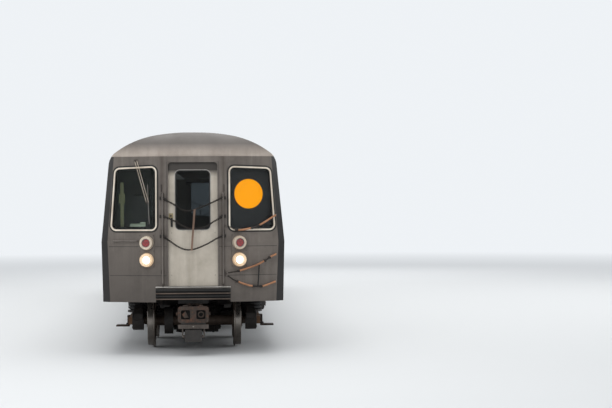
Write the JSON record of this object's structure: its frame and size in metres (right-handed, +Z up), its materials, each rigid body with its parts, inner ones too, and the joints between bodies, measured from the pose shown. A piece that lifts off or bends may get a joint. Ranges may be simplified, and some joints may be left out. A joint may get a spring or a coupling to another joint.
{
  "type": "metro car",
  "caption": "Steel metro car with sliding side doors in pairs, a faceted end with a centre door, safety chains, an automatic coupler and two swivelling trucks.",
  "frame": {"origin": "middle of the car, on the level of the lowest points of the wheel flanges", "axes": "+Z up, +Y towards the rear end, front end (the one in the picture) at -Y, +X to the right seen from the front"},
  "size_m": [3.048, 22.86, 3.7097],
  "materials": {
    "body_steel": "brushed, grimy",
    "end_paint": "weathered",
    "end_door_paint": "weathered",
    "door_steel": "brushed, grimy",
    "rim_cream": "weathered",
    "glass": "clear, dark inside",
    "lamp_paint": "weathered",
    "lens": "clear and red lenses",
    "sign_black": "matt curtain",
    "black_paint": "matt",
    "cast_iron": "rusty",
    "fitting_steel": "worn",
    "chain_steel": "worn",
    "spring_steel": "copper brown",
    "underframe_paint": "dusty",
    "truck_paint": "dusty",
    "motor_paint": "dusty",
    "shoe_beam_wood": "weathered",
    "wheel_steel": "bright tread",
    "floor_cover": "worn",
    "lining": "satin",
    "seat_plastic": "satin",
    "pole_steel": "polished",
    "cab_paint": "satin"
  },
  "bodies": {
    "carbody": {"underframe": "underframe_paint", "floor": "floor_cover", "side_wall_right": "body_steel", "side_wall_left": "body_steel", "cantrails": "body_steel", "roof": "body_steel", "roof_caps": "end_paint", "ceiling": "lining", "end_walls": "end_paint", "end_glazing": "glass", "end_window_rims": "rim_cream", "side_glazing": "glass", "lamp_housings": "lamp_paint", "lamp_lenses": "lens", "route_signs": "sign_black", "anticlimbers": "black_paint", "couplers": "cast_iron", "electric_heads": "black_paint", "end_grabs": "fitting_steel", "wipers": "rim_cream", "safety_chains": "chain_steel", "barrier_springs": "spring_steel", "battery_box": "underframe_paint", "control_box": "underframe_paint", "air_supply": "underframe_paint", "resistor_grid": "underframe_paint", "seats": "seat_plastic", "stanchions": "pole_steel", "cab_partitions": "lining", "cab_fittings": "cab_paint"},
    "truck_front": {"truck_frame_front": "truck_paint", "truck_bolster_front": "truck_paint", "truck_motors_front": "motor_paint", "shoe_gear_front": "shoe_beam_wood"},
    "wheelset_front_truck_fore": {"wheelset_front_truck_fore": "wheel_steel"},
    "wheelset_front_truck_aft": {"wheelset_front_truck_aft": "wheel_steel"},
    "truck_rear": {"truck_frame_rear": "truck_paint", "truck_bolster_rear": "truck_paint", "truck_motors_rear": "motor_paint", "shoe_gear_rear": "shoe_beam_wood"},
    "wheelset_rear_truck_fore": {"wheelset_rear_truck_fore": "wheel_steel"},
    "wheelset_rear_truck_aft": {"wheelset_rear_truck_aft": "wheel_steel"},
    "door_right_1_fore": {"door_right_1_fore": "door_steel"},
    "door_right_1_aft": {"door_right_1_aft": "door_steel"},
    "door_right_2_fore": {"door_right_2_fore": "door_steel"},
    "door_right_2_aft": {"door_right_2_aft": "door_steel"},
    "door_right_3_fore": {"door_right_3_fore": "door_steel"},
    "door_right_3_aft": {"door_right_3_aft": "door_steel"},
    "door_right_4_fore": {"door_right_4_fore": "door_steel"},
    "door_right_4_aft": {"door_right_4_aft": "door_steel"},
    "door_left_1_fore": {"door_left_1_fore": "door_steel"},
    "door_left_1_aft": {"door_left_1_aft": "door_steel"},
    "door_left_2_fore": {"door_left_2_fore": "door_steel"},
    "door_left_2_aft": {"door_left_2_aft": "door_steel"},
    "door_left_3_fore": {"door_left_3_fore": "door_steel"},
    "door_left_3_aft": {"door_left_3_aft": "door_steel"},
    "door_left_4_fore": {"door_left_4_fore": "door_steel"},
    "door_left_4_aft": {"door_left_4_aft": "door_steel"},
    "end_door_front": {"end_door_front": "end_door_paint"},
    "end_door_rear": {"end_door_rear": "end_door_paint"}
  },
  "joints": [
    {"name": "truck_front_swivel", "type": "hinge", "parent": "carbody", "child": "truck_front", "pos_m": [0, -8.23, 0.8857], "axis": [0, 0, 1], "range_deg": [-8, 8]},
    {"name": "wheelset_front_truck_fore_spin", "type": "hinge", "parent": "truck_front", "child": "wheelset_front_truck_fore", "pos_m": [0, -9.2715, 0.46], "axis": [1, 0, 0], "continuous": true},
    {"name": "wheelset_front_truck_aft_spin", "type": "hinge", "parent": "truck_front", "child": "wheelset_front_truck_aft", "pos_m": [0, -7.1885, 0.46], "axis": [1, 0, 0], "continuous": true},
    {"name": "truck_rear_swivel", "type": "hinge", "parent": "carbody", "child": "truck_rear", "pos_m": [0, 8.23, 0.8857], "axis": [0, 0, 1], "range_deg": [-8, 8]},
    {"name": "wheelset_rear_truck_fore_spin", "type": "hinge", "parent": "truck_rear", "child": "wheelset_rear_truck_fore", "pos_m": [0, 7.1885, 0.46], "axis": [1, 0, 0], "continuous": true},
    {"name": "wheelset_rear_truck_aft_spin", "type": "hinge", "parent": "truck_rear", "child": "wheelset_rear_truck_aft", "pos_m": [0, 9.2715, 0.46], "axis": [1, 0, 0], "continuous": true},
    {"name": "door_right_1_fore_slide", "type": "slide", "parent": "carbody", "child": "door_right_1_fore", "axis": [0, -1, 0], "range_m": [0, 0.615]},
    {"name": "door_right_1_aft_slide", "type": "slide", "parent": "carbody", "child": "door_right_1_aft", "axis": [0, 1, 0], "range_m": [0, 0.615]},
    {"name": "door_right_2_fore_slide", "type": "slide", "parent": "carbody", "child": "door_right_2_fore", "axis": [0, -1, 0], "range_m": [0, 0.615]},
    {"name": "door_right_2_aft_slide", "type": "slide", "parent": "carbody", "child": "door_right_2_aft", "axis": [0, 1, 0], "range_m": [0, 0.615]},
    {"name": "door_right_3_fore_slide", "type": "slide", "parent": "carbody", "child": "door_right_3_fore", "axis": [0, -1, 0], "range_m": [0, 0.615]},
    {"name": "door_right_3_aft_slide", "type": "slide", "parent": "carbody", "child": "door_right_3_aft", "axis": [0, 1, 0], "range_m": [0, 0.615]},
    {"name": "door_right_4_fore_slide", "type": "slide", "parent": "carbody", "child": "door_right_4_fore", "axis": [0, -1, 0], "range_m": [0, 0.615]},
    {"name": "door_right_4_aft_slide", "type": "slide", "parent": "carbody", "child": "door_right_4_aft", "axis": [0, 1, 0], "range_m": [0, 0.615]},
    {"name": "door_left_1_fore_slide", "type": "slide", "parent": "carbody", "child": "door_left_1_fore", "axis": [0, -1, 0], "range_m": [0, 0.615]},
    {"name": "door_left_1_aft_slide", "type": "slide", "parent": "carbody", "child": "door_left_1_aft", "axis": [0, 1, 0], "range_m": [0, 0.615]},
    {"name": "door_left_2_fore_slide", "type": "slide", "parent": "carbody", "child": "door_left_2_fore", "axis": [0, -1, 0], "range_m": [0, 0.615]},
    {"name": "door_left_2_aft_slide", "type": "slide", "parent": "carbody", "child": "door_left_2_aft", "axis": [0, 1, 0], "range_m": [0, 0.615]},
    {"name": "door_left_3_fore_slide", "type": "slide", "parent": "carbody", "child": "door_left_3_fore", "axis": [0, -1, 0], "range_m": [0, 0.615]},
    {"name": "door_left_3_aft_slide", "type": "slide", "parent": "carbody", "child": "door_left_3_aft", "axis": [0, 1, 0], "range_m": [0, 0.615]},
    {"name": "door_left_4_fore_slide", "type": "slide", "parent": "carbody", "child": "door_left_4_fore", "axis": [0, -1, 0], "range_m": [0, 0.615]},
    {"name": "door_left_4_aft_slide", "type": "slide", "parent": "carbody", "child": "door_left_4_aft", "axis": [0, 1, 0], "range_m": [0, 0.615]},
    {"name": "end_door_front_hinge", "type": "hinge", "parent": "carbody", "child": "end_door_front", "pos_m": [0.43, -11.143, 1.15], "axis": [0, 0, -1], "range_deg": [0, 90]},
    {"name": "end_door_rear_hinge", "type": "hinge", "parent": "carbody", "child": "end_door_rear", "pos_m": [-0.43, 11.143, 1.15], "axis": [0, 0, -1], "range_deg": [0, 90]}
  ],
  "couplings": [
    {"joint": "door_right_1_aft_slide", "follows": "door_right_1_fore_slide", "ratio": 1},
    {"joint": "door_right_2_aft_slide", "follows": "door_right_2_fore_slide", "ratio": 1},
    {"joint": "door_right_3_aft_slide", "follows": "door_right_3_fore_slide", "ratio": 1},
    {"joint": "door_right_4_aft_slide", "follows": "door_right_4_fore_slide", "ratio": 1},
    {"joint": "door_left_1_aft_slide", "follows": "door_left_1_fore_slide", "ratio": 1},
    {"joint": "door_left_2_aft_slide", "follows": "door_left_2_fore_slide", "ratio": 1},
    {"joint": "door_left_3_aft_slide", "follows": "door_left_3_fore_slide", "ratio": 1},
    {"joint": "door_left_4_aft_slide", "follows": "door_left_4_fore_slide", "ratio": 1}
  ]
}
